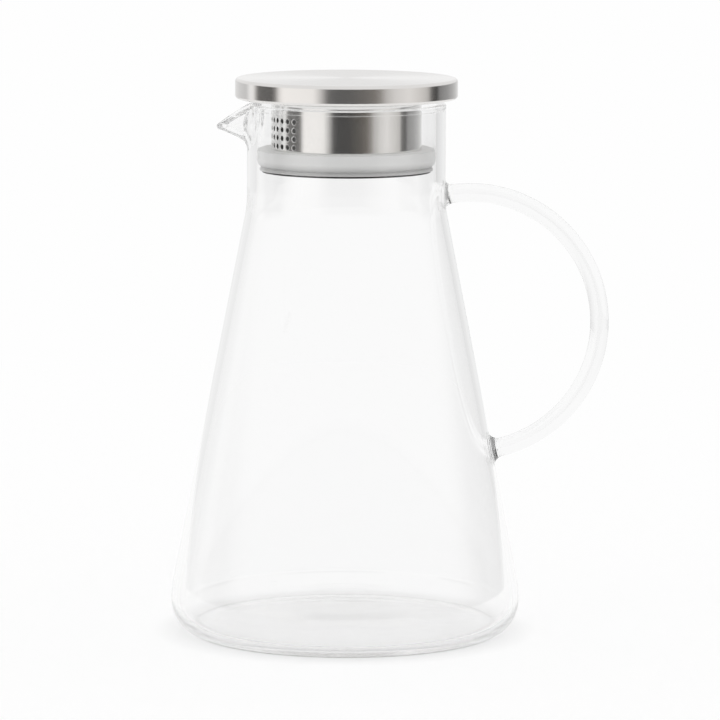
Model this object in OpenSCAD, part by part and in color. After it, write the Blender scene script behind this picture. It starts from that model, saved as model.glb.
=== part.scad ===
// A blown glass water jug with a pulled spout and a fused rod handle, closed by a
// steel lid whose perforated sleeve plugs the neck on a silicone ring.
// Millimetres. +Z is up, the table is z = 0 and the body's axis is x = y = 0.
// The spout points along -X and the handle along +X.

/* [Body] */
// Widest radius of the body, just above the foot
body_r = 77.6; // [74:0.2:82]
// Height of the widest place, which is also the height of the rounded foot
foot_h = 14.2; // [11:0.2:18]
// How far in the rounded foot reaches before it stands flat
foot_w = 11.2; // [9:0.2:14]
// Radius of the soft curve from the widest place into the cone
belly_round = 48; // [30:1:70]
// Height where the cone and the neck would meet as a sharp corner
shoulder_z = 190.8; // [180:0.2:198]
// Radius of the blend between the cone and the neck
shoulder_round = 52; // [20:1:80]
// Outer radius of the straight neck
neck_r = 43.9; // [42.5:0.1:46]
// Glass thickness of the cone
body_wall = 3; // [2.4:0.1:3.6]
// Glass thickness of the neck
neck_wall = 4.2; // [3.4:0.1:4.8]
// Glass thickness of the floor
floor_wall = 4; // [3:0.1:5.5]
// Width of the flat ring that the jug stands on, round the shallow hollow under its floor
stand_w = 6.4; // [2:0.1:12]
// Height of that hollow at its middle
push_up_h = 0.5; // [0.2:0.1:1.5]

/* [Rim and spout] */
// Height of the rim above the table
rim_z = 235.6; // [228:0.1:245]
// Height of the fire-polished band round the rim
rim_band_h = 2.3; // [2.1:0.1:3.2]
// How far the band stands out from the neck
rim_band_out = 0.2; // [0.1:0.1:0.6]
// Radius of the rim's two upper edges
rim_round = 0.7; // [0.4:0.1:1]
// How far below the rim the spout starts to swell out of the neck
spout_h = 21.5; // [18:0.5:26]
// How far the spout's tip reaches out past the rim
spout_reach = 13.2; // [8:0.1:16]
// How far the spout's tip dips below the rim
spout_drop = 9.2; // [4:0.1:10]
// Angle from the spout's middle to where its side meets the round rim
spout_half_angle = 22; // [18:1:30]
// How fast the sides fall away from the tip: higher is a slimmer spout
spout_taper = 1.3; // [1:0.1:2]

/* [Handle] */
// Distance from the body's axis to the middle of the handle's ring
handle_x = 54.8; // [52:0.2:58]
// Height of the middle of the handle's ring
handle_z = 138.5; // [132:0.5:144]
// Radius of the handle's ring, along the middle of the rod
handle_r = 57.8; // [50:0.2:62]
// Diameter of the glass rod
rod_d = 8.2; // [6.5:0.1:9.5]
// How far the upper weld spreads round the rod
top_weld_w = 2.9; // [1.5:0.1:4]
// How far the lower weld spreads round the rod
low_weld_w = 3.9; // [2:0.1:5]
// How far a weld reaches along the rod
weld_l = 4.6; // [3:0.1:6]

/* [Lid] */
// How far the steel cap reaches out past the neck's wall
cap_over = 5.3; // [4:0.1:8]
// Height of the steel cap
cap_h = 9; // [7:0.1:12]
// Open gap between the rim and the underside of the cap
cap_gap = 2.3; // [1:0.1:4]
// Thickness of the cap's and the plate's steel sheet
sheet = 0.8; // [0.5:0.1:0.9]
// Radius of the cap's upper edge
cap_top_round = 1.5; // [0.95:0.05:2]
// Radius of the cap's lower edge, where the sheet is rolled under
cap_low_round = 1.5; // [1.4:0.1:2.6]
// Width of the flat strip that is rolled under the cap
cap_hem_w = 3.2; // [2:0.1:6]
// Clearance round the plate inside the cap
plate_gap = 0.3; // [0.1:0.1:0.8]
// Height of the turned-up edge of the plate
plate_edge_h = 3.5; // [2:0.1:4.5]

/* [Strainer sleeve] */
// Gap between the neck's glass and the perforated sleeve, closed by the sealing ring
sleeve_gap = 6.4; // [5.8:0.1:8]
// Thickness of the sleeve's steel
sleeve_wall = 0.7; // [0.5:0.1:1]
// Length of the sleeve below the plate
sleeve_l = 32.8; // [31:0.1:36]
// Radius of the flare at the top of the sleeve
flare_round = 2.7; // [1.5:0.1:3]
// Width of the flat edge beyond the flare, where the sleeve is welded to the plate
weld_edge_w = 3; // [2:0.1:4]
// Width of the foot flange that carries the sealing ring
flange_w = 4; // [3:0.1:4.2]
// Thickness of the foot flange
flange_h = 0.8; // [0.5:0.1:1.2]
// Diameter of a strainer hole
hole_d = 2.2; // [1.5:0.1:2.6]
// Rows of strainer holes
hole_rows = 4; // [2:1:4]
// Columns of strainer holes
hole_columns = 11; // [5:1:21]
// How far the lid is turned, so that the holes' middle lies this angle beside the spout
hole_turn = 13.7; // [0:0.1:20]
// Height from one row to the next
hole_pitch = 3.77; // [3.2:0.01:3.9]
// Angle from one column to the next
hole_step = 6.85; // [6:0.05:9]
// Depth of the top row below the plate
hole_top = 9.4; // [6:0.1:9.6]

/* [Sealing ring] */
// Height of the sealing ring
seal_h = 9.1; // [8.3:0.1:9.6]
// Height of its upper band, which lies against the glass
seal_band_h = 3.6; // [2.8:0.1:4.2]
// How much slimmer its waist is than the band
seal_waist_in = 2.1; // [1:0.1:3]
// Height of the waist above the flange
seal_waist_h = 1.6; // [1.2:0.1:3]
// How much slimmer its lower lip is than the band
seal_lip_in = 0.9; // [0.5:0.1:0.9]
// Size of the chamfer under the lower lip
seal_chamfer = 0.8; // [0.4:0.1:1.2]
// Clearance between the ring and the glass
seal_gap = 0.15; // [0.1:0.05:0.3]
// Clearance between the ring and the sleeve
seal_grip = 0.05; // [0.02:0.01:0.15]

/* [Hidden] */
$fn = 96;

neck_in_r = neck_r - neck_wall;
foot_x = body_r - foot_w;
push_up_r = foot_x - stand_w;
rod_r = rod_d / 2;

// The cone leaves the belly's curve as a tangent that ends at the neck's corner
belly_x = body_r - belly_round;
corner_dx = neck_r - belly_x;
corner_dz = shoulder_z - foot_h;
cone_angle = atan2(corner_dz, corner_dx) - acos(belly_round / norm([corner_dx, corner_dz]));
cone_in_step = neck_wall - body_wall / cos(cone_angle);
shoulder_in_z = shoulder_z + cone_in_step / tan(cone_angle);

// The spout and the rim are one loft that starts inside the neck's wall
loft_z = rim_z - spout_h;
loft_sink = 0.6;
loft_rise = 0.4;
loft_inset = 0.02;
// Height of the small curve at the foot of the rim's band
rim_band_foot = 0.5;
// How much higher the band is at the spout's tip, and the curve at its foot there
tip_band_more = 0.5;
tip_foot_more = 1;
// Handles of the curve under the spout and of the curve inside it
under_rise = 4.6;
under_run = 9.9;
under_fall = 4.1;
inside_rise = 8.5;
inside_run = 5;
inside_fall = 2.4;
// Steps of the loft round the spout, round the rest of the rim and along a section
spout_steps = 32;
rim_steps = 60;
curve_steps = 9;

// How deep the rod and the welds are sunk into the glass
rod_sink = 1.6;
weld_sink = 0.6;
// How far the slim end of a weld lies inside the rod
weld_bury = 0.35;

cap_r = neck_r + cap_over;
cap_z = rim_z + cap_gap;
plate_z = cap_z + sheet;
plate_r = cap_r - cap_low_round - plate_gap;
sleeve_r = neck_in_r - sleeve_gap;
sleeve_z = plate_z - sleeve_l;
seal_z = sleeve_z + flange_h;
seal_r = neck_in_r - seal_gap;
seal_in_r = sleeve_r + seal_grip;
seal_soft = 0.3;

// Points along an arc that is part of an ellipse
function arc(x, z, rx, rz, from, to, steps) =
    [for (i = [0:steps]) let (a = from + (to - from) * i / steps) [x + rx * cos(a), z + rz * sin(a)]];

// A point of a cubic curve with two end points and two handles
function bezier(p, t) =
    pow(1 - t, 3) * p[0] + 3 * pow(1 - t, 2) * t * p[1] + 3 * (1 - t) * t * t * p[2] + pow(t, 3) * p[3];

// The wall line of foot, belly, cone, shoulder and neck, a distance inside the outer one
function wall_line(inset, floor_z, neck, corner_z, top_z) =
    let (
        blend = shoulder_round + inset,
        blend_z = corner_z + blend * tan(cone_angle / 2)
    )
    concat(
        arc(foot_x, foot_h, foot_w - inset, foot_h - floor_z, -90, 0, 12),
        arc(belly_x, foot_h, belly_round - inset, belly_round - inset, cone_angle / 4, cone_angle, 3),
        arc(neck + blend, blend_z, blend, blend, 180 + cone_angle, 180, 5),
        [[neck, top_z]]
    );

// How much of the spout's reach and drop a section at this angle from its middle has
function spout_share(angle) =
    abs(angle) >= spout_half_angle ? 0 : pow(0.5 + 0.5 * cos(180 * angle / spout_half_angle), spout_taper);

// One closed section of rim and spout: up the outside, over the band, down the inside
function lip_section(share) =
    let (
        shift = spout_reach * share,
        top_z = rim_z - spout_drop * share,
        low_z = loft_z - loft_sink,
        out_r = neck_r - loft_inset,
        in_r = neck_in_r + loft_inset,
        band_r = neck_r + rim_band_out + shift,
        under_w = rim_band_out + loft_inset + (neck_wall - rim_band_out) / 2 * share,
        under_h = rim_band_foot + tip_foot_more * share,
        out_end = [band_r - under_w, top_z - rim_band_h - tip_band_more * share],
        in_end = [in_r + shift, top_z - rim_round],
        out_plain = (out_end[1] - loft_z) / 3,
        in_plain = (in_end[1] - loft_z) / 3,
        outside = [
            [out_r, loft_z + loft_rise],
            [out_r, loft_z + under_rise * share + out_plain * (1 - share)],
            out_end - [under_run * share, under_fall * share + out_plain * (1 - share)],
            out_end
        ],
        inside = [
            in_end,
            in_end - [inside_run * share, inside_fall * share + in_plain * (1 - share)],
            [in_r, loft_z + inside_rise * share + in_plain * (1 - share)],
            [in_r, loft_z + loft_rise]
        ]
    )
    concat(
        [[out_r, low_z]],
        [for (i = [0:curve_steps]) bezier(outside, i / curve_steps)],
        arc(band_r - under_w, out_end[1] + under_h, under_w, under_h, -60, 0, 2),
        arc(band_r - rim_round, in_end[1], rim_round, rim_round, 0, 90, 3),
        arc(in_end[0] + rim_round, in_end[1], rim_round, rim_round, 90, 150, 2),
        [for (i = [0:curve_steps]) bezier(inside, i / curve_steps)],
        [[in_r, low_z]]
    );

// Angles of the loft's sections from the spout's middle: close together across the spout
spout_span = spout_half_angle + 1;
loft_angles = concat(
    [for (i = [0:spout_steps - 1]) -spout_span + 2 * spout_span * i / spout_steps],
    [for (i = [0:rim_steps - 1]) spout_span + (360 - 2 * spout_span) * i / rim_steps]
);

// Rim, band and spout as one closed ring of sections
module lip_loft() {
    sections = [for (a = loft_angles) lip_section(spout_share(a))];
    count = len(loft_angles);
    ring = len(sections[0]);
    points = [for (i = [0:count - 1]) for (p = sections[i])
        [-p[0] * cos(loft_angles[i]), p[0] * sin(loft_angles[i]), p[1]]];
    faces = [for (i = [0:count - 1]) for (j = [0:ring - 1])
        let (
            next_i = (i + 1) % count,
            next_j = (j + 1) % ring,
            a = i * ring + j,
            b = next_i * ring + j,
            c = next_i * ring + next_j,
            d = i * ring + next_j
        )
        each [[a, b, c], [a, c, d]]];
    polyhedron(points = points, faces = faces);
}

// The body's outer form up to the loft, with the shallow hollow under its floor
module body_outside() {
    hollow_round = (push_up_r * push_up_r + push_up_h * push_up_h) / (2 * push_up_h);
    hollow_angle = asin(push_up_r / hollow_round);
    rotate_extrude()
        polygon(concat(
            arc(0, push_up_h - hollow_round, hollow_round, hollow_round, 90, 90 - hollow_angle, 4),
            wall_line(0, 0, neck_r, shoulder_z, loft_z),
            [[0, loft_z]]
        ));
}

// The room for water, open at the top
module body_inside() {
    rotate_extrude()
        polygon(concat(
            [[0, floor_wall]],
            wall_line(body_wall, floor_wall, neck_in_r, shoulder_in_z, loft_z + 1),
            [[0, loft_z + 1]]
        ));
}

// A weld that swells from the rod to the wall, pointing along +Z with the wall at z = 0
module weld(spread) {
    slim = rod_r - weld_bury;
    rotate_extrude()
        polygon(concat(
            [[0, -rod_sink], [slim + spread, -rod_sink]],
            [for (i = [0:6]) let (a = 15 * i)
                [slim + spread * (1 - sin(a)), weld_l * (1 - cos(a)) - weld_sink]],
            [[0, weld_l - weld_sink]]
        ));
}

// The rod bent to a ring, from the neck round to the cone, with a weld at each end
module handle() {
    wall_dot = neck_r * cos(cone_angle) + shoulder_z * sin(cone_angle);
    ring_dot = handle_x * cos(cone_angle) + handle_z * sin(cone_angle);
    top_wall = acos((neck_r - handle_x) / handle_r);
    top_end = acos((neck_r - rod_sink - handle_x) / handle_r);
    low_wall = cone_angle - acos((wall_dot - ring_dot) / handle_r);
    low_end = cone_angle - acos((wall_dot - rod_sink - ring_dot) / handle_r);
    translate([handle_x, 0, handle_z]) {
        rotate([90, 0, 0]) rotate([0, 0, low_end])
            rotate_extrude(angle = top_end - low_end) translate([handle_r, 0]) circle(r = rod_r, $fn = 48);
        translate([handle_r * cos(top_wall), 0, handle_r * sin(top_wall)])
            rotate([0, 180 - top_wall, 0]) weld(top_weld_w);
        translate([handle_r * cos(low_wall), 0, handle_r * sin(low_wall)])
            rotate([0, -low_wall, 0]) weld(low_weld_w);
    }
}

module glass_jug() {
    color([0.86, 0.9, 0.9, 0.35])
        union() {
            difference() {
                union() {
                    body_outside();
                    handle();
                }
                body_inside();
            }
            lip_loft();
        }
}

// The drawn cover: flat top, straight side and an edge rolled under to a flat hem
module lid_cap() {
    hem_r = cap_r - cap_low_round - cap_hem_w;
    top_z = cap_z + cap_h;
    side_x = cap_r - cap_top_round;
    low_x = cap_r - cap_low_round;
    color([0.78, 0.78, 0.77])
        rotate_extrude()
            polygon(concat(
                [[0, top_z]],
                arc(side_x, top_z - cap_top_round, cap_top_round, cap_top_round, 90, 0, 4),
                arc(low_x, cap_z + cap_low_round, cap_low_round, cap_low_round, 0, -90, 6),
                [[hem_r, cap_z], [hem_r, plate_z]],
                arc(low_x, cap_z + cap_low_round, cap_low_round - sheet, cap_low_round - sheet, -90, 0, 6),
                arc(side_x, top_z - cap_top_round, cap_top_round - sheet, cap_top_round - sheet, 0, 90, 4),
                [[0, top_z - sheet]]
            ));
}

// The pressed plate that closes the cap from below and stands on its hem
module lid_base_plate() {
    edge_in_r = plate_r - sheet;
    color([0.7, 0.7, 0.69])
        rotate_extrude()
            polygon([
                [0, plate_z],
                [plate_r, plate_z],
                [plate_r, plate_z + plate_edge_h],
                [edge_in_r, plate_z + plate_edge_h],
                [edge_in_r, plate_z + sheet],
                [0, plate_z + sheet]
            ]);
}

// The drilled field of the sleeve, towards the spout
module strainer_holes() {
    first = -(hole_columns - 1) / 2;
    for (column = [0:hole_columns - 1])
        for (row = [0:hole_rows - 1])
            rotate([0, 0, 180 + hole_turn + (first + column) * hole_step])
                translate([sleeve_r - 3 * sleeve_wall, 0, plate_z - hole_top - row * hole_pitch])
                    rotate([0, 90, 0])
                        cylinder(d = hole_d, h = 5 * sleeve_wall, $fn = 24);
}

// The sleeve: flared and welded at the top, strainer holes towards the spout, flange at the foot
module strainer_sleeve() {
    in_r = sleeve_r - sleeve_wall;
    flare_x = sleeve_r + flare_round;
    flare_z = plate_z - sleeve_wall - flare_round;
    edge_r = flare_x + weld_edge_w;
    flare_in = flare_round + sleeve_wall;
    color([0.74, 0.74, 0.73])
        difference() {
            rotate_extrude()
                polygon(concat(
                    [[in_r, sleeve_z], [sleeve_r + flange_w, sleeve_z], [sleeve_r + flange_w, seal_z]],
                    [[sleeve_r, seal_z]],
                    arc(flare_x, flare_z, flare_round, flare_round, 180, 90, 5),
                    [[edge_r, plate_z - sleeve_wall], [edge_r, plate_z]],
                    arc(flare_x, flare_z, flare_in, flare_in, 90, 180, 5)
                ));
            strainer_holes();
        }
}

// The silicone ring: a band against the glass, a slim waist and a soft lower lip
module seal_ring() {
    top_z = seal_z + seal_h;
    band_z = top_z - seal_band_h;
    lip_r = seal_r - seal_lip_in;
    color([0.8, 0.8, 0.79])
        rotate_extrude()
            polygon(concat(
                [[seal_in_r, top_z], [seal_in_r, seal_z]],
                [[lip_r - seal_chamfer, seal_z], [lip_r, seal_z + seal_chamfer]],
                [[seal_r - seal_waist_in, seal_z + seal_waist_h], [seal_r, band_z]],
                arc(seal_r - seal_soft, top_z - seal_soft, seal_soft, seal_soft, 0, 90, 3)
            ));
}

glass_jug();
lid_cap();
lid_base_plate();
strainer_sleeve();
seal_ring();
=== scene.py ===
import math

import bmesh
import bpy
import numpy as np
from mathutils import Euler, Matrix


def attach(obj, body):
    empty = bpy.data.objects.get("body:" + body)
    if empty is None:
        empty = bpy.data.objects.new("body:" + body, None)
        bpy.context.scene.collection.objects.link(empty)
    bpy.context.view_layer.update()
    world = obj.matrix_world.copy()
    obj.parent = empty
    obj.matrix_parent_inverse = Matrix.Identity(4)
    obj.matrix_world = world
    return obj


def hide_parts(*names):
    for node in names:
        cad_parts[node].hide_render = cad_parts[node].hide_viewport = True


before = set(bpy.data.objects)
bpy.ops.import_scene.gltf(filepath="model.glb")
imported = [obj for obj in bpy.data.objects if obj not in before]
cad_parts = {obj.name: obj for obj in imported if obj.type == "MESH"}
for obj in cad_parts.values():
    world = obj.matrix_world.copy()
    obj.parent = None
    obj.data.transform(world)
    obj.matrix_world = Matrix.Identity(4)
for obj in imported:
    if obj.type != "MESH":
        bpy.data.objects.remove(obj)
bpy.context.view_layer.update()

MM = 0.001

# Sizes in millimetres, the same as in the part's source, apart from the widths of the two welds:
# here they count from the rod's surface, there from 0.35 mm inside it, and these are 0.05 mm less
BODY_R, FOOT_H, FOOT_W = 77.6, 14.2, 11.2
BELLY_ROUND, SHOULDER_Z, SHOULDER_ROUND = 48.0, 190.8, 52.0
NECK_R, BODY_WALL, NECK_WALL, FLOOR_WALL = 43.9, 3.0, 4.2, 4.0
PUSH_UP_R, PUSH_UP_H = 60.0, 0.5
RIM_Z, RIM_BAND_H, RIM_BAND_OUT, RIM_BAND_FOOT, RIM_ROUND = 235.6, 2.3, 0.2, 0.5, 0.7
SPOUT_H, SPOUT_REACH, SPOUT_DROP = 21.5, 13.2, 9.2
SPOUT_HALF_ANGLE, SPOUT_TAPER = 22.0, 1.3
TIP_BAND_MORE, TIP_FOOT_MORE = 0.5, 1.0
UNDER_RISE, UNDER_RUN, UNDER_FALL = 4.6, 9.9, 4.1
INSIDE_RISE, INSIDE_RUN, INSIDE_FALL = 8.5, 5.0, 2.4
HANDLE_X, HANDLE_Z, HANDLE_R, ROD_R = 54.8, 138.5, 57.8, 4.1
TOP_WELD_W, LOW_WELD_W, WELD_L, ROD_SINK = 2.5, 3.5, 4.6, 1.6
CAP_R, CAP_H, CAP_GAP, SHEET = 49.2, 9.0, 2.3, 0.8
CAP_TOP_ROUND, CAP_LOW_ROUND, CAP_HEM_W = 1.5, 1.5, 3.2
SLEEVE_R, SLEEVE_WALL, SLEEVE_L = 33.3, 0.7, 32.8
FLARE_ROUND, WELD_EDGE_W = 2.7, 3.0
FLANGE_W, FLANGE_H = 4.0, 0.8
HOLE_R, HOLE_ROWS, HOLE_COLUMNS, HOLE_TURN = 1.1, 4, 11, 13.7
HOLE_PITCH, HOLE_STEP, HOLE_TOP = 3.77, 6.85, 9.4
SEAL_H, SEAL_BAND_H, SEAL_WAIST_IN, SEAL_WAIST_H = 9.1, 3.6, 2.1, 1.6
SEAL_LIP_IN, SEAL_CHAMFER, SEAL_GAP, SEAL_GRIP = 0.9, 0.8, 0.15, 0.05

NECK_IN_R = NECK_R - NECK_WALL
LOFT_Z = RIM_Z - SPOUT_H
CAP_Z = RIM_Z + CAP_GAP
PLATE_Z = CAP_Z + SHEET
SLEEVE_Z = PLATE_Z - SLEEVE_L
SEAL_Z = SLEEVE_Z + FLANGE_H
SEAL_R = NECK_IN_R - SEAL_GAP

BELLY_X = BODY_R - BELLY_ROUND
CONE = math.atan2(SHOULDER_Z - FOOT_H, NECK_R - BELLY_X) - math.acos(
    BELLY_ROUND / math.hypot(NECK_R - BELLY_X, SHOULDER_Z - FOOT_H))
SHOULDER_IN_Z = SHOULDER_Z + (NECK_WALL - BODY_WALL / math.cos(CONE)) / math.tan(CONE)

# Height at which the handle's lower end meets the cone, for how round the cone is there
LOW_WELD_Z = 81.6

# Small forms of the glass: a ring above the rounded foot of the rim's band, the dome of the rim, how
# far inside the wall a weld starts, and the share of the weld's width that the rod's sunk end has
BAND_RING, RIM_DOME, WELD_OVERLAP, SUNK_FLARE = 0.3, 0.05, 0.12, 0.8

# Steps along each rounded stretch of the glass. The hollow underside has close ones only near its
# edge, past this share of it, and the first points of the inner foot, which are nearly flat, are
# left to the rings of the floor
FOOT_STEPS, BELLY_STEPS, SHOULDER_STEPS, LIP_STEPS, BAND_STEPS = 32, 8, 12, 34, 8
HOLLOW_PLAIN, HOLLOW_STEPS, HOLLOW_EDGE_STEPS, FLAT_FOOT_STEPS = 0.8, 4, 20, 4

# Extra rings of the glass, by share of the cone's length, height in the neck and radius on the floor:
# close ones only where the handle is fused to it, and none this close to either end of the neck
CONE_STEPS = sorted({0.01, 0.1, 0.2, 0.7, 0.8, 0.9, 0.99, *(0.3 + 0.012 * i for i in range(22))})
NECK_RINGS = [199.0, 200.5, 202.0, 206.0, 210.0, 213.0]
FLOOR_RINGS = [66.0, 64.0, 40.0, 0.0]
RING_ROOM = 0.5

# The crease below the rim's band is softened over these points before and after it, so many times
CREASE_BEFORE, CREASE_AFTER, CREASE_ROUNDS = 4, 6, 3

# Sections of the glass round the axis, close ones at the spout and at the handle, and the angles in
# degrees that these take up; then the points round the rod and its sections, and those of a weld
SPOUT_SECTIONS, SIDE_SECTIONS, HANDLE_SECTIONS = 88, 84, 32
SPOUT_MARGIN, HANDLE_HALF_ANGLE = 2, 12
ROD_COLUMNS, ROD_SECTIONS, WELD_SECTIONS = 56, 150, 15

# One strainer hole, from the outside of the sheet to its inside: how far beyond the hole's radius
# each ring lies, and how deep in the sheet
HOLE_LINE = [(0.4, 0.0), (0.26, 0.0), (0.15, 0.03), (0.07, 0.09), (0.02, 0.17), (0.0, 0.27), (0.0, 0.5),
             (0.04, 0.66), (0.12, SLEEVE_WALL), (0.4, SLEEVE_WALL)]

# Steps along each side of a hole's cell, and sections on the sleeve's side without holes
HOLE_SIDE_STEPS, PLAIN_SIDE_STEPS = 8, 121

# Points closer together than this are one: in a mesh in metres, in one face in millimetres
SAME_POINT, SAME_CORNER = 1e-7, 1e-6


# Outlines of the sections

def arc(x, z, rx, rz, start, end, steps):
    """Points along a part of an ellipse, angles in degrees."""
    angles = np.radians(np.linspace(start, end, steps + 1))
    return [(x + rx * math.cos(a), z + rz * math.sin(a)) for a in angles]


def bezier(points, steps):
    """Points along a cubic curve with two ends and two handles."""
    p = np.array(points, float)
    out = []
    for t in np.linspace(0, 1, steps + 1):
        u = 1 - t
        out.append(tuple(u ** 3 * p[0] + 3 * u * u * t * p[1] + 3 * u * t * t * p[2] + t ** 3 * p[3]))
    return out


def wall_line(inset, floor_z, neck, corner_z):
    """Foot, belly, cone and shoulder of one side of the wall, from the floor up to the neck."""
    cone = math.degrees(CONE)
    blend = SHOULDER_ROUND + inset
    blend_z = corner_z + blend * math.tan(CONE / 2)
    foot = arc(BODY_R - FOOT_W, FOOT_H, FOOT_W - inset, FOOT_H - floor_z, -90, 0, FOOT_STEPS)
    belly = arc(BELLY_X, FOOT_H, BELLY_ROUND - inset, BELLY_ROUND - inset, 0, cone, BELLY_STEPS)[1:]
    shoulder = arc(neck + blend, blend_z, blend, blend, 180 + cone, 180, SHOULDER_STEPS)
    low, high = np.array(belly[-1]), np.array(shoulder[0])
    cone_line = [tuple(low + (high - low) * t) for t in CONE_STEPS]
    return foot + belly + cone_line + shoulder


def spout_share(angle):
    """How much of the spout's reach a section has, by its angle from the spout's middle in degrees."""
    if abs(angle) >= SPOUT_HALF_ANGLE:
        return 0.0
    return (0.5 + 0.5 * math.cos(math.pi * angle / SPOUT_HALF_ANGLE)) ** SPOUT_TAPER


def lip_line(share):
    """Up the outside of the neck, over the rim's band and down the inside, for one section."""
    out_x, in_x = NECK_R + RIM_BAND_OUT + SPOUT_REACH * share, NECK_IN_R + SPOUT_REACH * share
    top_z = RIM_Z - SPOUT_DROP * share
    under_x = RIM_BAND_OUT + ((NECK_WALL + RIM_BAND_OUT) / 2 - RIM_BAND_OUT) * share
    under_z = RIM_BAND_FOOT + TIP_FOOT_MORE * share
    end, inner = (out_x - under_x, top_z - RIM_BAND_H - TIP_BAND_MORE * share), (in_x, top_z - RIM_ROUND)
    plain, plain_in = (end[1] - LOFT_Z) / 3 * (1 - share), (inner[1] - LOFT_Z) / 3 * (1 - share)
    outside = bezier([(NECK_R, LOFT_Z), (NECK_R, LOFT_Z + UNDER_RISE * share + plain),
                      (end[0] - UNDER_RUN * share, end[1] - UNDER_FALL * share - plain), end], LIP_STEPS)
    inside = bezier([inner, (inner[0] - INSIDE_RUN * share, inner[1] - INSIDE_FALL * share - plain_in),
                     (NECK_IN_R, LOFT_Z + INSIDE_RISE * share + plain_in), (NECK_IN_R, LOFT_Z)], LIP_STEPS)
    band = (arc(end[0], end[1] + under_z, under_x, under_z, -90, 0, BAND_STEPS)
            + [(out_x, end[1] + under_z + BAND_RING)]
            + arc(out_x - RIM_ROUND, top_z - RIM_ROUND, RIM_ROUND, RIM_ROUND, 0, 90, BAND_STEPS)
            + [((out_x + in_x) / 2, top_z + RIM_DOME)]
            + arc(in_x + RIM_ROUND, top_z - RIM_ROUND, RIM_ROUND, RIM_ROUND, 90, 180, BAND_STEPS))
    return soften(outside + band[1:-1] + inside, LIP_STEPS - CREASE_BEFORE, LIP_STEPS + CREASE_AFTER)


def soften(points, first, last):
    """Rounds the crease between the neck and the rim's band, as the flame does."""
    p = np.array(points, float)
    for _ in range(CREASE_ROUNDS):
        p[first:last] += 0.5 * ((p[first - 1:last - 1] + p[first + 1:last + 1]) / 2 - p[first:last])
    return [tuple(q) for q in p]


def neck_line(radius, wall):
    """Rings of the straight neck, between the end of the wall below and the start of the spout's loft."""
    return [(radius, z) for z in NECK_RINGS if wall[-1][1] + RING_ROOM < z < LOFT_Z - RING_ROOM]


def jug_line(share):
    """The whole section of the glass from the middle of its underside to the middle of its floor."""
    hollow_round = (PUSH_UP_R ** 2 + PUSH_UP_H ** 2) / (2 * PUSH_UP_H)
    hollow = math.degrees(math.asin(PUSH_UP_R / hollow_round))
    middle_z, bend = PUSH_UP_H - hollow_round, 90 - HOLLOW_PLAIN * hollow
    under = (arc(0, middle_z, hollow_round, hollow_round, 90, bend, HOLLOW_STEPS)
             + arc(0, middle_z, hollow_round, hollow_round, bend, 90 - hollow, HOLLOW_EDGE_STEPS)[1:])
    outer = wall_line(0, 0, NECK_R, SHOULDER_Z)
    inner = wall_line(BODY_WALL, FLOOR_WALL, NECK_IN_R, SHOULDER_IN_Z)[FLAT_FOOT_STEPS:]
    return (under + outer + neck_line(NECK_R, outer) + lip_line(share)
            + neck_line(NECK_IN_R, inner)[::-1] + inner[::-1] + [(r, FLOOR_WALL) for r in FLOOR_RINGS])


# Meshes

def new_object(name, mesh, body="root", node=None, materials=()):
    """Links a finished mesh with its materials, rides it on its body and hides the CAD node that it stands
    for.
    """
    piece = bpy.data.objects.new(name, mesh)
    bpy.context.scene.collection.objects.link(piece)
    for material in materials:
        mesh.materials.append(material)
    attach(piece, body)
    if node:
        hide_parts(node)


def make_mesh(name, verts, faces, sharp=None):
    """A smooth mesh in metres from points in millimetres, with its faces turned outwards."""
    mesh = bpy.data.meshes.new(name)
    mesh.from_pydata([tuple(MM * c for c in v) for v in verts], [], faces)
    work = bmesh.new()
    work.from_mesh(mesh)
    bmesh.ops.remove_doubles(work, verts=work.verts, dist=SAME_POINT)
    bmesh.ops.recalc_face_normals(work, faces=work.faces)
    work.to_mesh(mesh)
    work.free()
    mesh.shade_smooth()
    if sharp:
        mesh.set_sharp_from_angle(angle=math.radians(sharp))
    return mesh


def ring_faces(count, size, closed):
    """Quads between `count` sections of `size` points, sections closing on the first one."""
    faces = []
    for i in range(count):
        k = (i + 1) % count
        for j in range(size if closed else size - 1):
            m = (j + 1) % size
            faces.append((i * size + j, k * size + j, k * size + m, i * size + m))
    return faces


def revolve(name, line, segments, sharp):
    """Turns a closed section about the axis; points on the axis become one."""
    verts = []
    for a in np.linspace(0, 2 * math.pi, segments, endpoint=False):
        verts += [(r * math.cos(a), r * math.sin(a), z) for r, z in line]
    faces = ring_faces(segments, len(line), True)
    return make_mesh(name, verts, without_repeats(verts, faces), sharp)


def without_repeats(verts, faces):
    """Drops the corners of faces that meet in one point on the axis."""
    out = []
    for face in faces:
        corners = []
        for v in face:
            if not any(math.dist(verts[v], verts[c]) < SAME_CORNER for c in corners):
                corners.append(v)
        if len(corners) > 2:
            out.append(tuple(corners))
    return out


def glass_body():
    """Body, neck, rim and spout as one closed wall, with close sections at the spout and the handle."""
    spout = SPOUT_HALF_ANGLE + SPOUT_MARGIN
    handle = HANDLE_HALF_ANGLE
    angles = np.concatenate([
        np.linspace(-spout, spout, SPOUT_SECTIONS, endpoint=False),
        np.linspace(spout, 180 - handle, SIDE_SECTIONS, endpoint=False),
        np.linspace(180 - handle, 180 + handle, HANDLE_SECTIONS, endpoint=False),
        np.linspace(180 + handle, 360 - spout, SIDE_SECTIONS, endpoint=False),
    ])
    verts, size = [], 0
    for degrees in angles:
        line = jug_line(spout_share(degrees))
        size = len(line)
        a = math.radians(degrees)
        verts += [(-r * math.cos(a), r * math.sin(a), z) for r, z in line]
    faces = ring_faces(len(angles), size, False)
    return make_mesh("jug_body", verts, without_repeats(verts, faces))


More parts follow.
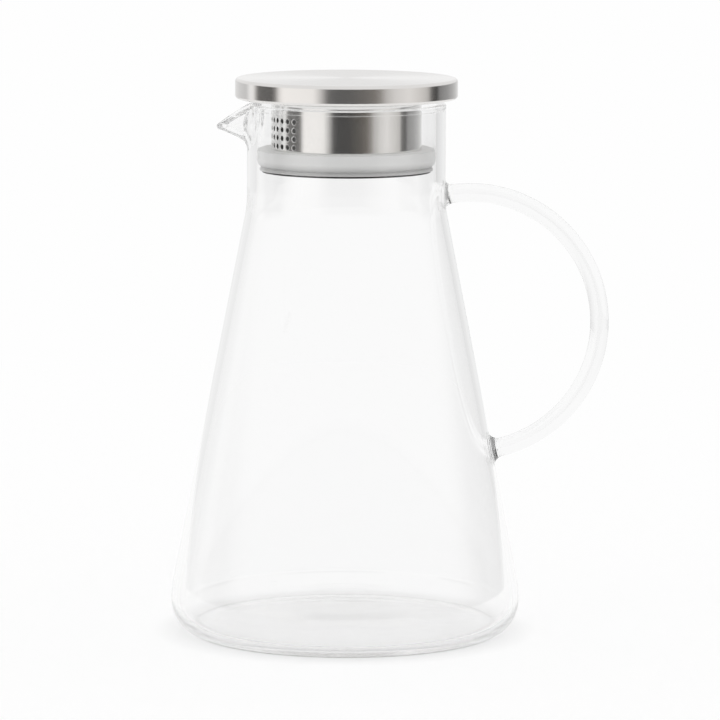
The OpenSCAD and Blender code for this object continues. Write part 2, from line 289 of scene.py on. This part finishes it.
def glass_handle():
    """The rod bent to a ring, flaring out at both ends until it lies along the wall it is fused to."""
    top = math.acos((NECK_R - HANDLE_X) / HANDLE_R)
    normal = np.array([math.cos(CONE), 0, math.sin(CONE)])
    centre = np.array([HANDLE_X, 0, HANDLE_Z])
    corner = np.array([NECK_R, 0, SHOULDER_Z])
    low = CONE - math.acos(((corner - centre) @ normal) / HANDLE_R)
    cone_round = (NECK_R + (SHOULDER_Z - LOW_WELD_Z) * math.tan(CONE)) / math.cos(CONE)
    ends = {
        "low": (low, 1, normal, cone_round, LOW_WELD_W),
        "top": (top, -1, np.array([1.0, 0, 0]), NECK_R, TOP_WELD_W),
    }
    around = np.linspace(0, 2 * math.pi, ROD_COLUMNS, endpoint=False)

    def section(phi, radius, end=None, fade=0.0):
        out_dir = np.array([math.cos(phi), 0, math.sin(phi)])
        along = np.array([-math.sin(phi), 0, math.cos(phi)])
        points = []
        for t in around:
            side = out_dir * math.cos(t) * radius + np.array([0, math.sin(t) * radius, 0])
            p = centre + out_dir * HANDLE_R + side
            if end and fade:
                _, _, wall, wall_round, _ = ends[end]
                sag = wall_round - math.sqrt(wall_round ** 2 - side[1] ** 2)
                p = p - along * fade * ((side @ wall) + sag) / (along @ wall)
            points.append(tuple(p))
        return points

    def flare(end):
        phi, turn, _, _, spread = ends[end]
        rows = [(phi - turn * ROD_SINK / HANDLE_R, ROD_R + spread * SUNK_FLARE, 1.0)]
        for a in np.radians(np.linspace(0, 90, WELD_SECTIONS)):
            s = WELD_L * (1 - math.cos(a)) - WELD_OVERLAP
            fade = max(0.0, 1 - s / WELD_L)
            rows.append((phi + turn * s / HANDLE_R, ROD_R + spread * (1 - math.sin(a)), fade))
        return [section(p, r, end, f) for p, r, f in rows]

    lower, upper = flare("low"), flare("top")[::-1]
    middle = [section(p, ROD_R) for p in
              np.linspace(low + WELD_L / HANDLE_R, top - WELD_L / HANDLE_R, ROD_SECTIONS)[1:-1]]
    sections = lower + middle + upper
    verts = [p for s in sections for p in s]
    size = len(around)
    faces = []
    for i in range(len(sections) - 1):
        for j in range(size):
            m = (j + 1) % size
            faces.append((i * size + j, i * size + m, (i + 1) * size + m, (i + 1) * size + j))
    faces += [tuple(range(size)), tuple(range(len(verts) - size, len(verts)))[::-1]]
    return make_mesh("jug_handle", verts, faces)


def fuse(first, second, name):
    """One mesh from two closed ones that overlap."""
    a = bpy.data.objects.new(name + "_a", first)
    b = bpy.data.objects.new(name + "_b", second)
    for o in (a, b):
        bpy.context.scene.collection.objects.link(o)
    weld = a.modifiers.new("weld", "BOOLEAN")
    weld.operation, weld.solver, weld.object = "UNION", "MANIFOLD", b
    bpy.context.view_layer.update()
    fused = bpy.data.meshes.new_from_object(a.evaluated_get(bpy.context.evaluated_depsgraph_get()))
    for o in (a, b):
        bpy.data.objects.remove(o)
    fused.name = name
    fused.materials.clear()
    fused.shade_smooth()
    return fused


def cap_line():
    """Section of the drawn cover with its flat top and the edge rolled under."""
    top_z, side_x, low_x = CAP_Z + CAP_H, CAP_R - CAP_TOP_ROUND, CAP_R - CAP_LOW_ROUND
    hem_r = low_x - CAP_HEM_W
    # Rings this close to the rounded edges keep the faces between them flat in the shading
    near_top, near_side, hem_bevel = 0.4, 0.3, 0.2
    return ([(r, top_z) for r in (0, 20, 44, side_x - near_top)]
            + arc(side_x, top_z - CAP_TOP_ROUND, CAP_TOP_ROUND, CAP_TOP_ROUND, 90, 0, 10)
            + [(CAP_R, top_z - CAP_TOP_ROUND - near_side), (CAP_R, CAP_Z + CAP_LOW_ROUND + near_side)]
            + arc(low_x, CAP_Z + CAP_LOW_ROUND, CAP_LOW_ROUND, CAP_LOW_ROUND, 0, -90, 14)
            + [(low_x - near_side, CAP_Z), (hem_r + hem_bevel, CAP_Z)]
            + [(hem_r, CAP_Z + hem_bevel), (hem_r, PLATE_Z)]
            + arc(low_x, CAP_Z + CAP_LOW_ROUND, CAP_LOW_ROUND - SHEET, CAP_LOW_ROUND - SHEET, -90, 0, 8)
            + arc(side_x, top_z - CAP_TOP_ROUND, CAP_TOP_ROUND - SHEET, CAP_TOP_ROUND - SHEET, 0, 90, 4)
            + [(0, top_z - SHEET)])


def seal_line():
    """Section of the silicone ring: upper band, slim waist and lower lip."""
    top_z = SEAL_Z + SEAL_H
    band_z = top_z - SEAL_BAND_H
    lip_r, waist_r = SEAL_R - SEAL_LIP_IN, SEAL_R - SEAL_WAIST_IN
    waist_z = SEAL_Z + SEAL_WAIST_H
    inner = SLEEVE_R + SEAL_GRIP
    edge_round, edge_ring, inner_ring = 0.4, 0.5, 3
    # Handles of the two curves: how the slope leaves the waist and ends in the band, and the lip's bulge
    slope_run, slope_rise, slope_fall = 0.9, 0.5, 1.9
    lip_run, lip_bulge, lip_rise = 0.1, 0.05, 0.5
    slope = bezier([(waist_r, waist_z), (waist_r + slope_run, waist_z + slope_rise),
                    (SEAL_R, band_z - slope_fall), (SEAL_R, band_z)], 10)
    lip = bezier([(lip_r - SEAL_CHAMFER, SEAL_Z), (lip_r - lip_run, SEAL_Z),
                  (lip_r + lip_bulge, SEAL_Z + lip_rise), (waist_r, waist_z)], 8)
    return ([(inner, top_z), (inner, top_z - inner_ring), (inner, SEAL_Z)] + lip + slope[1:]
            + [(SEAL_R, top_z - edge_ring)]
            + arc(SEAL_R - edge_round, top_z - edge_round, edge_round, edge_round, 0, 90, 5))


def strainer():
    """The sleeve with its drilled field; each hole has a pressed rim and sits in a cell of its own."""
    side = HOLE_SIDE_STEPS
    half = HOLE_COLUMNS / 2 * HOLE_STEP
    columns, rows = HOLE_COLUMNS * side, HOLE_ROWS * side
    field = np.linspace(-half, half, columns + 1)
    rest = np.linspace(half, 360 - half, PLAIN_SIDE_STEPS)[1:-1]
    angles = np.concatenate([field, rest]) - HOLE_TURN
    row_z = [PLATE_Z - HOLE_TOP - i * HOLE_PITCH for i in range(HOLE_ROWS)][::-1]
    field_z = list(np.linspace(row_z[0] - HOLE_PITCH / 2, row_z[-1] + HOLE_PITCH / 2, rows + 1))
    in_r, flange_r = SLEEVE_R - SLEEVE_WALL, SLEEVE_R + FLANGE_W
    flare_x, flare_z = SLEEVE_R + FLARE_ROUND, PLATE_Z - SLEEVE_WALL - FLARE_ROUND
    flare_back = FLARE_ROUND + SLEEVE_WALL
    edge_r = flare_x + WELD_EDGE_W
    edge_round, foot_round = 0.2, 0.8
    low_ring, inner_ring, flare_ring = 4, 3, 0.5
    outer = ([(SLEEVE_R, SEAL_Z), (SLEEVE_R, SEAL_Z + low_ring)] + [(SLEEVE_R, z) for z in field_z]
             + arc(flare_x, flare_z, FLARE_ROUND, FLARE_ROUND, 180, 90, 10)
             + [(edge_r, PLATE_Z - SLEEVE_WALL), (edge_r, PLATE_Z), (flare_x + flare_ring, PLATE_Z)]
             + arc(flare_x, flare_z, flare_back, flare_back, 90, 180, 10))
    inner = [(in_r, z) for z in field_z[::-1]]
    foot = ([(in_r, SLEEVE_Z + inner_ring)]
            + arc(in_r + foot_round, SLEEVE_Z + foot_round, foot_round, foot_round, 180, 270, 4)
            + [(flange_r - edge_round, SLEEVE_Z)]
            + arc(flange_r - edge_round, SLEEVE_Z + edge_round, edge_round, edge_round, -90, 0, 3)[1:]
            + [(flange_r, SEAL_Z)])
    line = outer + inner + foot
    size, count = len(line), len(angles)
    first_out, first_in = 2, len(outer)
    verts = []
    for degrees in angles:
        a = math.radians(degrees)
        verts += [(-r * math.cos(a), r * math.sin(a), z) for r, z in line]

    def in_field(i, j):
        return i < columns and (first_out <= j < first_out + rows or first_in <= j < first_in + rows)

    faces = []
    for i in range(count):
        k = (i + 1) % count
        for j in range(size):
            if not in_field(i, j):
                m = (j + 1) % size
                faces.append((i * size + j, k * size + j, k * size + m, i * size + m))

    turns = np.radians(-135 + np.arange(4 * side) * 90 / side)

    def border(column, row, inside):
        """The points round one hole's cell, on the outside or the inside of the sheet."""
        i0, j0 = column * side, row * side
        steps = range(side)
        path = ([(i0 + s, j0) for s in steps] + [(i0 + side, j0 + s) for s in steps]
                + [(i0 + side - s, j0 + side) for s in steps] + [(i0, j0 + side - s) for s in steps])
        if inside:
            return [i * size + first_in + rows - j for i, j in path]
        return [i * size + first_out + j for i, j in path]

    for column in range(HOLE_COLUMNS):
        middle = (column - (HOLE_COLUMNS - 1) / 2) * HOLE_STEP - HOLE_TURN
        for row in range(HOLE_ROWS):
            loops = [border(column, row, False)]
            for beyond, depth in HOLE_LINE:
                start, radius = len(verts), HOLE_R + beyond
                for t in turns:
                    a = math.radians(middle) + radius * math.cos(t) / SLEEVE_R
                    r, z = SLEEVE_R - depth, row_z[row] + radius * math.sin(t)
                    verts.append((-r * math.cos(a), r * math.sin(a), z))
                loops.append(list(range(start, start + len(turns))))
            loops.append(border(column, row, True))
            for one, two in zip(loops, loops[1:]):
                n = len(one)
                faces += [(one[s], one[(s + 1) % n], two[(s + 1) % n], two[s]) for s in range(n)]
    mesh = make_mesh("strainer", verts, faces, 40)
    shade_inside(mesh, flare_z)
    return mesh


def shade_inside(mesh, flare_z):
    """Gives the second material, a painted shade, to the inside below the flare, the walls of the holes and
    the flange.
    """
    skin, foot_margin = 0.22, 0.01
    for face in mesh.polygons:
        reach, z = math.hypot(face.center.x, face.center.y) / MM, face.center.z / MM
        inside = z < flare_z and reach < SLEEVE_R - skin
        face.material_index = int(inside or z < SEAL_Z - foot_margin)


# Materials

class Nodes:
    """Short calls for building a node tree."""

    def __init__(self, tree):
        self.tree = tree

    def add(self, kind, **settings):
        """A node of one kind, with its settings and the values of its sockets by name."""
        node = self.tree.nodes.new("ShaderNode" + kind)
        for key, value in settings.items():
            if isinstance(getattr(node, key, None), (str, bool, int, float)) and key not in node.inputs:
                setattr(node, key, value)
            else:
                node.inputs[key].default_value = value
        return node

    def link(self, out, into):
        self.tree.links.new(out, into)

    def place(self, scale=(1, 1, 1)):
        """Object coordinates in metres, stretched by three factors."""
        where = self.add("TexCoord")
        spread = self.add("Mapping")
        spread.inputs["Scale"].default_value = scale
        self.link(where.outputs["Object"], spread.inputs["Vector"])
        return spread.outputs["Vector"]

    def reach(self):
        """Distance from the axis in metres."""
        node = self.add("VectorMath", operation="LENGTH")
        self.link(self.place((1, 1, 0)), node.inputs[0])
        return node.outputs["Value"]

    def height(self):
        """Height above the table in metres."""
        node = self.add("SeparateXYZ")
        self.link(self.place(), node.inputs["Vector"])
        return node.outputs["Z"]

    def noise(self, vector, scale, detail=2.0, rough=0.5):
        node = self.add("TexNoise", Scale=scale, Detail=detail, Roughness=rough)
        self.link(vector, node.inputs["Vector"])
        return node.outputs["Fac"]

    def spread(self, value, low, high, start=0.0, end=1.0, smooth=False):
        """Maps a value from start..end to low..high."""
        node = self.add("MapRange", interpolation_type="SMOOTHSTEP" if smooth else "LINEAR")
        for key, number in (("From Min", start), ("From Max", end), ("To Min", low), ("To Max", high)):
            node.inputs[key].default_value = number
        self.link(value, node.inputs["Value"])
        return node.outputs["Result"]

    def maths(self, operation, *values):
        """One operation on sockets and numbers."""
        node = self.add("Math", operation=operation)
        for socket, value in zip(node.inputs, values):
            if isinstance(value, (int, float)):
                socket.default_value = value
            else:
                self.link(value, socket)
        return node.outputs["Value"]

    def times(self, value, factor):
        return self.maths("MULTIPLY", value, factor)


class Material(Nodes):
    """A node material and its main shader."""

    def __init__(self, name):
        self.material = bpy.data.materials.new(name)
        self.material.use_nodes = True
        super().__init__(self.material.node_tree)
        self.shader = self.tree.nodes["Principled BSDF"]

    def bump(self, height, strength, distance):
        node = self.add("Bump", Strength=strength, Distance=distance)
        self.link(height, node.inputs["Height"])
        self.link(node.outputs["Normal"], self.shader.inputs["Normal"])

    def colours(self, value, low, high):
        """A colour between two, by a value."""
        ramp = self.add("ValToRGB")
        ramp.color_ramp.elements[0].color = (*low, 1)
        ramp.color_ramp.elements[1].color = (*high, 1)
        self.link(value, ramp.inputs["Fac"])
        self.link(ramp.outputs["Color"], self.shader.inputs["Base Color"])


# The glass is rough only on its worn underside, up to these heights and out to these radii in
# millimetres, which also keeps stripes of trapped light out of the jug's floor
WORN_LOW, WORN_HIGH, WORN_R, WORN_END_R = 0.6, 0.9, 64, 67

# Heights above the ring's foot between which the silicone's painted shade fades, from its dark lower lip to
# its full tone
LIP_SHADE_START, LIP_SHADE_END = 2.2, 4.8


def glass_material():
    """Clear blown glass: a faint unevenness of the wall, and fine wear on its underside."""
    n = Material("clear_glass_blown")
    n.shader.inputs["Base Color"].default_value = (1.0, 1.0, 1.0, 1)
    n.shader.inputs["Transmission Weight"].default_value = 1.0
    n.shader.inputs["IOR"].default_value = 1.47
    n.bump(n.noise(n.place((1, 1, 0.35)), scale=38, detail=1.0), strength=0.05, distance=0.0004)
    wear = n.spread(n.noise(n.place(), scale=500), 0.12, 0.2)
    low = n.spread(n.height(), 1.0, 0.0, MM * WORN_LOW, MM * WORN_HIGH)
    flat = n.spread(n.reach(), 1.0, 0.0, MM * WORN_R, MM * WORN_END_R)
    n.link(n.times(n.times(wear, low), flat), n.shader.inputs["Roughness"])
    return n.material


def steel_material(name, colour, roughness, grain, depth, anisotropy=0.0):
    """Stainless steel with a fine grain that runs round the axis, in a colour that varies a little."""
    darkest, lightest = 0.97, 1.03
    smoothest, grain_share, grain_height = 0.75, 0.5, 0.00002
    n = Material(name)
    n.shader.inputs["Metallic"].default_value = 1.0
    n.shader.inputs["Anisotropic"].default_value = anisotropy
    n.shader.inputs["Anisotropic Rotation"].default_value = 0.25
    along = n.add("Tangent", direction_type="RADIAL", axis="Z")
    n.link(along.outputs["Tangent"], n.shader.inputs["Tangent"])
    lines = n.add("CombineXYZ")
    n.link(n.reach(), lines.inputs["X"])
    n.link(n.height(), lines.inputs["Z"])
    streaks = n.noise(lines.outputs["Vector"], scale=grain, detail=3.0, rough=0.6)
    clouds = n.noise(n.place(), scale=45)
    n.colours(clouds, tuple(c * darkest for c in colour), tuple(min(1, c * lightest) for c in colour))
    rough = n.maths("MULTIPLY_ADD", streaks, roughness * grain_share, roughness * smoothest)
    n.link(rough, n.shader.inputs["Roughness"])
    n.bump(streaks, strength=depth, distance=grain_height)
    return n.material


def silicone_material():
    """Milky soft silicone with a powdery surface, and painted shade that darkens it towards its lower lip.
    """
    n = Material("silicone_milky")
    clouds = n.noise(n.place(), scale=120)
    # Painted shade: the colour is darker from the slope below the band down to the lower lip
    painted_shading = n.spread(n.height(), 0.0, 0.8, MM * (SEAL_Z + LIP_SHADE_START), MM * (SEAL_Z + LIP_SHADE_END))
    tone = n.maths("MULTIPLY_ADD", clouds, 0.2, painted_shading)
    n.colours(tone, (0.42, 0.42, 0.416), (0.69, 0.69, 0.684))
    n.shader.inputs["IOR"].default_value = 1.41
    grain = n.noise(n.place(), scale=2600)
    n.link(n.spread(grain, 0.35, 0.5), n.shader.inputs["Roughness"])
    n.bump(grain, strength=0.08, distance=0.00003)
    return n.material


# The jug

clear = glass_material()
brushed = steel_material("steel_cover", colour=(0.79, 0.775, 0.76),
                         roughness=0.16, grain=5200, depth=0.25, anisotropy=0.8)
pressed = steel_material("steel_plate", colour=(0.66, 0.66, 0.65),
                         roughness=0.3, grain=3000, depth=0.3, anisotropy=0.3)
polished = steel_material("steel_sleeve", colour=(0.79, 0.785, 0.775),
                          roughness=0.07, grain=4200, depth=0.12, anisotropy=0.6)
# Painted shade: near-black steel stands in for the shade inside the sleeve, in its holes and on the flange's
# foot
# Far darker than bare steel, because the strainer's holes look black in the photo
painted_shade_steel = steel_material("steel_sleeve_painted_shade", colour=(0.03, 0.03, 0.029),
                        roughness=0.6, grain=2400, depth=0.3)
rubber = silicone_material()

new_object("jug_glass", fuse(glass_body(), glass_handle(), "jug_glass"),
           node="glass_jug", materials=[clear])
new_object("lid_cover", revolve("lid_cover", cap_line(), segments=256, sharp=40),
           node="lid_cap", materials=[brushed])
new_object("strainer_drum", strainer(),
           node="strainer_sleeve", materials=[polished, painted_shade_steel])
new_object("silicone_ring", revolve("silicone_ring", seal_line(), segments=224, sharp=50),
           node="seal_ring", materials=[rubber])
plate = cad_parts["lid_base_plate"]
for place in plate.material_slots:
    place.material = pressed


# Floor, light and camera

# White of the background as the camera sees it, and level of the light that surfaces scatter
BACKDROP, SCATTER_LEVEL = 0.991, 1.0

# The floor's radius and height in metres. It scatters the share FLOOR_ALBEDO of its light and glows
# with the rest, so that it is as white as the backdrop where nothing shades it
FLOOR_R, FLOOR_Z, FLOOR_ALBEDO = 0.9, -0.05 * MM, 0.7
FLOOR_GLOW = BACKDROP - FLOOR_ALBEDO * SCATTER_LEVEL

# The jug's own shadow on the floor is very faint, so painted shade makes the floor darker near things:
# down to CONTACT_SHADE of its level where something closes it in, looked for over CONTACT_REACH metres
CONTACT_SHADE, CONTACT_REACH, CONTACT_SAMPLES = 0.88, 0.012, 12

# A painted shadow also makes it darker by CONTACT_LINE in a ring under the rounded foot, and by this
# share of that where it is seen through glass. In millimetres from the edge of the flat part of the
# foot, the ring starts LINE_IN inside it, has its full depth up to LINE_OUT outside it and ends at LINE_END
CONTACT_LINE, LINE_THROUGH_GLASS = 0.55, 0.35
LINE_IN, LINE_OUT, LINE_END = 1.0, 0.8, 3.0

# White has this share of its level where it is seen through glass
THROUGH_GLASS = 0.969

# Share of plain white, instead of the studio, that a ray sees after it went through glass: with the
# studio alone the glass was darker than the photo's, and from the other sides the dark behind the
# camera showed through it. A ray that wasn't reflected sees white alone when it was bent four times
# or more, and else BENT_WHITE. One reflected twice or more sees TRAPPED_WHITE, which goes over to
# GUIDED_WHITE between these numbers of reflections. One bent less than three times sees at least
# WALL_WHITE
BENT_WHITE, TRAPPED_WHITE, GUIDED_WHITE, WALL_WHITE = 0.75, 0.75, 0.0, 0.3
TRAPPED_REFLECTIONS, GUIDED_REFLECTIONS = 4.0, 30.0

# Light from overhead, and the height of a ray's direction over which it takes the horizon's place
OVERHEAD, OVERHEAD_START, OVERHEAD_END = 0.91, 0.04, 0.15

# For rays through glass the studio's sides sit nearer to the camera by this share of their angle,
# reached between these angles in radians
NEAR_BOXES, NEAR_START, NEAR_END = 0.085, 0.8, 1.2

# Light from all round the horizon, as angle, level and warmth. The angle is in degrees from the
# camera's side, to the right positive: a dark studio behind the camera, a soft box on each side,
# black flags beyond them and a white backdrop
HORIZON = [
    (-180, 0.93, 0), (-177, 0.93, 0), (-173, 0.85, 0), (-127, 0.66, 0), (-118, 1.0, 0),
    (-112, 0.95, 0.01), (-107, 0.4, 0.02), (-103, 0.14, 0.03), (-84, 0.08, 0.04), (-79, 0.2, 0.04),
    (-73, 0.88, 0.02), (-68, 1.06, 0.02), (-34, 1.02, 0.02), (-28, 0.7, 0.02), (-19, 0.1, 0.03),
    (-12, 0.04, 0.03), (4, 0.04, 0.06), (20, 0.08, 0.12), (30, 0.14, 0.12), (36, 0.27, 0.07),
    (42, 0.54, 0.03), (52, 0.75, 0.02), (68, 0.87, 0.02), (86, 0.67, 0.03), (93, 0.56, 0.03),
    (99, 0.12, 0.04), (107, 0.03, 0.04), (113, 0.24, 0), (130, 0.37, 0), (172, 0.85, 0),
    (177, 0.93, 0), (180, 0.93, 0),
]

# The photograph's viewpoint in metres, degrees and pixels, found by fitting the jug's outlines
CAMERA_AT, CAMERA_DOWN, CAMERA_ROLL = (0.00633, -2.18246, 0.41415), 7.643, 0.187
FOCAL_LENGTH_PX, PHOTO_SIDE_PX, SENSOR_MM, CLIP_END = 4953.9, 720, 36, 20

# Light that is led round in the wall turns black where its bounces end, so the limit is high
MOST_BOUNCES = 240


def floor():
    """A round pale floor that keeps the jug's shadow, with painted shade close to the jug and under its
    foot.
    """
    mesh = bpy.data.meshes.new("floor")
    work = bmesh.new()
    bmesh.ops.create_circle(work, cap_ends=True, segments=128, radius=FLOOR_R)
    work.to_mesh(mesh)
    work.free()
    piece = bpy.data.objects.new("floor", mesh)
    piece.location.z = FLOOR_Z
    bpy.context.scene.collection.objects.link(piece)
    n = Material("floor_pale")
    through_glass = n.add("LightPath").outputs["Is Transmission Ray"]
    close = n.add("AmbientOcclusion", samples=CONTACT_SAMPLES, Distance=CONTACT_REACH)
    shade = n.spread(close.outputs["AO"], CONTACT_SHADE, 1.0)
    shade = n.times(shade, n.spread(through_glass, 1.0, THROUGH_GLASS))
    foot_r, reach = MM * (BODY_R - FOOT_W), n.reach()
    line = n.spread(through_glass, CONTACT_LINE, LINE_THROUGH_GLASS * CONTACT_LINE)
    line = n.times(line, n.spread(reach, 0.0, 1.0, foot_r - LINE_IN * MM, foot_r))
    line = n.times(line, n.spread(reach, 1.0, 0.0, foot_r + LINE_OUT * MM, foot_r + LINE_END * MM))
    shade = n.times(shade, n.spread(line, 1.0, 0.0))
    diffuse = n.add("BsdfDiffuse")
    glow = n.add("Emission")
    n.link(n.times(shade, FLOOR_ALBEDO), diffuse.inputs["Color"])
    n.link(n.times(shade, FLOOR_GLOW), glow.inputs["Strength"])
    both = n.add("AddShader")
    n.link(diffuse.outputs["BSDF"], both.inputs[0])
    n.link(glow.outputs["Emission"], both.inputs[1])
    n.link(both.outputs["Shader"], n.tree.nodes["Material Output"].inputs["Surface"])
    mesh.materials.append(n.material)


def studio_colour(n, path):
    """The studio's own light: the ramp of the horizon, and an even white from overhead."""
    split = n.add("SeparateXYZ")
    n.link(n.add("TexCoord").outputs["Generated"], split.inputs["Vector"])
    turn = n.maths("ARCTAN2", split.outputs["X"], n.times(split.outputs["Y"], -1.0))
    nearer = n.spread(n.maths("ABSOLUTE", turn), 0.0, NEAR_BOXES, NEAR_START, NEAR_END, smooth=True)
    wider = n.maths("MULTIPLY_ADD", path["Is Transmission Ray"], nearer, 1.0)
    ramp = n.add("ValToRGB")
    stops = ramp.color_ramp.elements
    while len(stops) < len(HORIZON):
        stops.new(0.5)
    for stop, (angle, level, warmth) in zip(stops, HORIZON):
        stop.position = angle / 360 + 0.5
        stop.color = (level * (1 + warmth), level, level * (1 - warmth), 1)
    n.link(n.maths("MULTIPLY_ADD", n.times(turn, wider), 1 / (2 * math.pi), 0.5), ramp.inputs["Fac"])
    high = n.spread(split.outputs["Z"], 0.0, 1.0, OVERHEAD_START, OVERHEAD_END, smooth=True)
    overhead = n.add("Mix", data_type="RGBA")
    n.link(high, overhead.inputs[0])
    n.link(ramp.outputs["Color"], overhead.inputs[6])
    overhead.inputs[7].default_value = (OVERHEAD, OVERHEAD, OVERHEAD, 1)
    return overhead.outputs[2]


def white_share(n, path):
    """How much plain white a ray sees instead of the studio: all of it from the camera, part after glass."""
    bends, reflections = path["Transmission Depth"], path["Glossy Depth"]
    by_bends = n.maths("ADD", n.times(n.maths("GREATER_THAN", bends, 3.0), 1 - BENT_WHITE), BENT_WHITE)
    unreflected = n.times(n.maths("LESS_THAN", reflections, 0.5), by_bends)
    fade = n.spread(reflections, TRAPPED_WHITE, GUIDED_WHITE, TRAPPED_REFLECTIONS, GUIDED_REFLECTIONS)
    trapped = n.times(n.maths("GREATER_THAN", reflections, 1.5), fade)
    walled = n.times(n.maths("LESS_THAN", bends, 3.0), WALL_WHITE)
    after_glass = n.maths("MAXIMUM", unreflected, n.maths("MAXIMUM", trapped, walled))
    through = n.times(path["Is Transmission Ray"], after_glass)
    return n.maths("MAXIMUM", path["Is Camera Ray"], through)


def studio():
    """The world: the studio, plain white for the camera and partly through glass, even white for scatter."""
    world = bpy.data.worlds.new("studio")
    bpy.context.scene.world = world
    world.use_nodes = True
    world.node_tree.nodes.clear()
    n = Nodes(world.node_tree)
    path = n.add("LightPath").outputs
    around = n.add("Background", Strength=1.0)
    n.link(studio_colour(n, path), around.inputs["Color"])
    white = n.add("Background", Color=(BACKDROP, BACKDROP, BACKDROP, 1))
    n.link(n.spread(path["Is Transmission Ray"], 1.0, THROUGH_GLASS), white.inputs["Strength"])
    soft = n.add("Background", Color=(1, 1, 1, 1), Strength=SCATTER_LEVEL)
    scattered = n.maths("GREATER_THAN", path["Diffuse Depth"], 0.5)
    shader = around
    for share, other in ((white_share(n, path), white), (scattered, soft)):
        choose = n.add("MixShader")
        n.link(share, choose.inputs[0])
        n.link(shader.outputs[0], choose.inputs[1])
        n.link(other.outputs[0], choose.inputs[2])
        shader = choose
    n.link(shader.outputs[0], n.add("OutputWorld").inputs["Surface"])
    world.cycles.sampling_method = "NONE"


def camera():
    """A camera at the photograph's viewpoint."""
    data = bpy.data.cameras.new("camera")
    data.sensor_width = SENSOR_MM
    data.lens = FOCAL_LENGTH_PX / PHOTO_SIDE_PX * data.sensor_width
    data.clip_end = CLIP_END
    piece = bpy.data.objects.new("camera", data)
    piece.location = CAMERA_AT
    tilt = Euler((math.radians(90 - CAMERA_DOWN), 0, 0)).to_matrix()
    turn = tilt @ Matrix.Rotation(math.radians(CAMERA_ROLL), 3, "Z")
    piece.rotation_euler = turn.to_euler()
    bpy.context.scene.collection.objects.link(piece)
    bpy.context.scene.camera = piece


floor()
studio()
camera()
scene = bpy.context.scene
scene.view_settings.view_transform = "Standard"
scene.cycles.use_denoising = True
# Reflections aren't blurred, so that the thin lines in the glass stay
scene.cycles.blur_glossy = 0.0
scene.cycles.max_bounces = MOST_BOUNCES
scene.cycles.transmission_bounces = MOST_BOUNCES
scene.cycles.glossy_bounces = MOST_BOUNCES
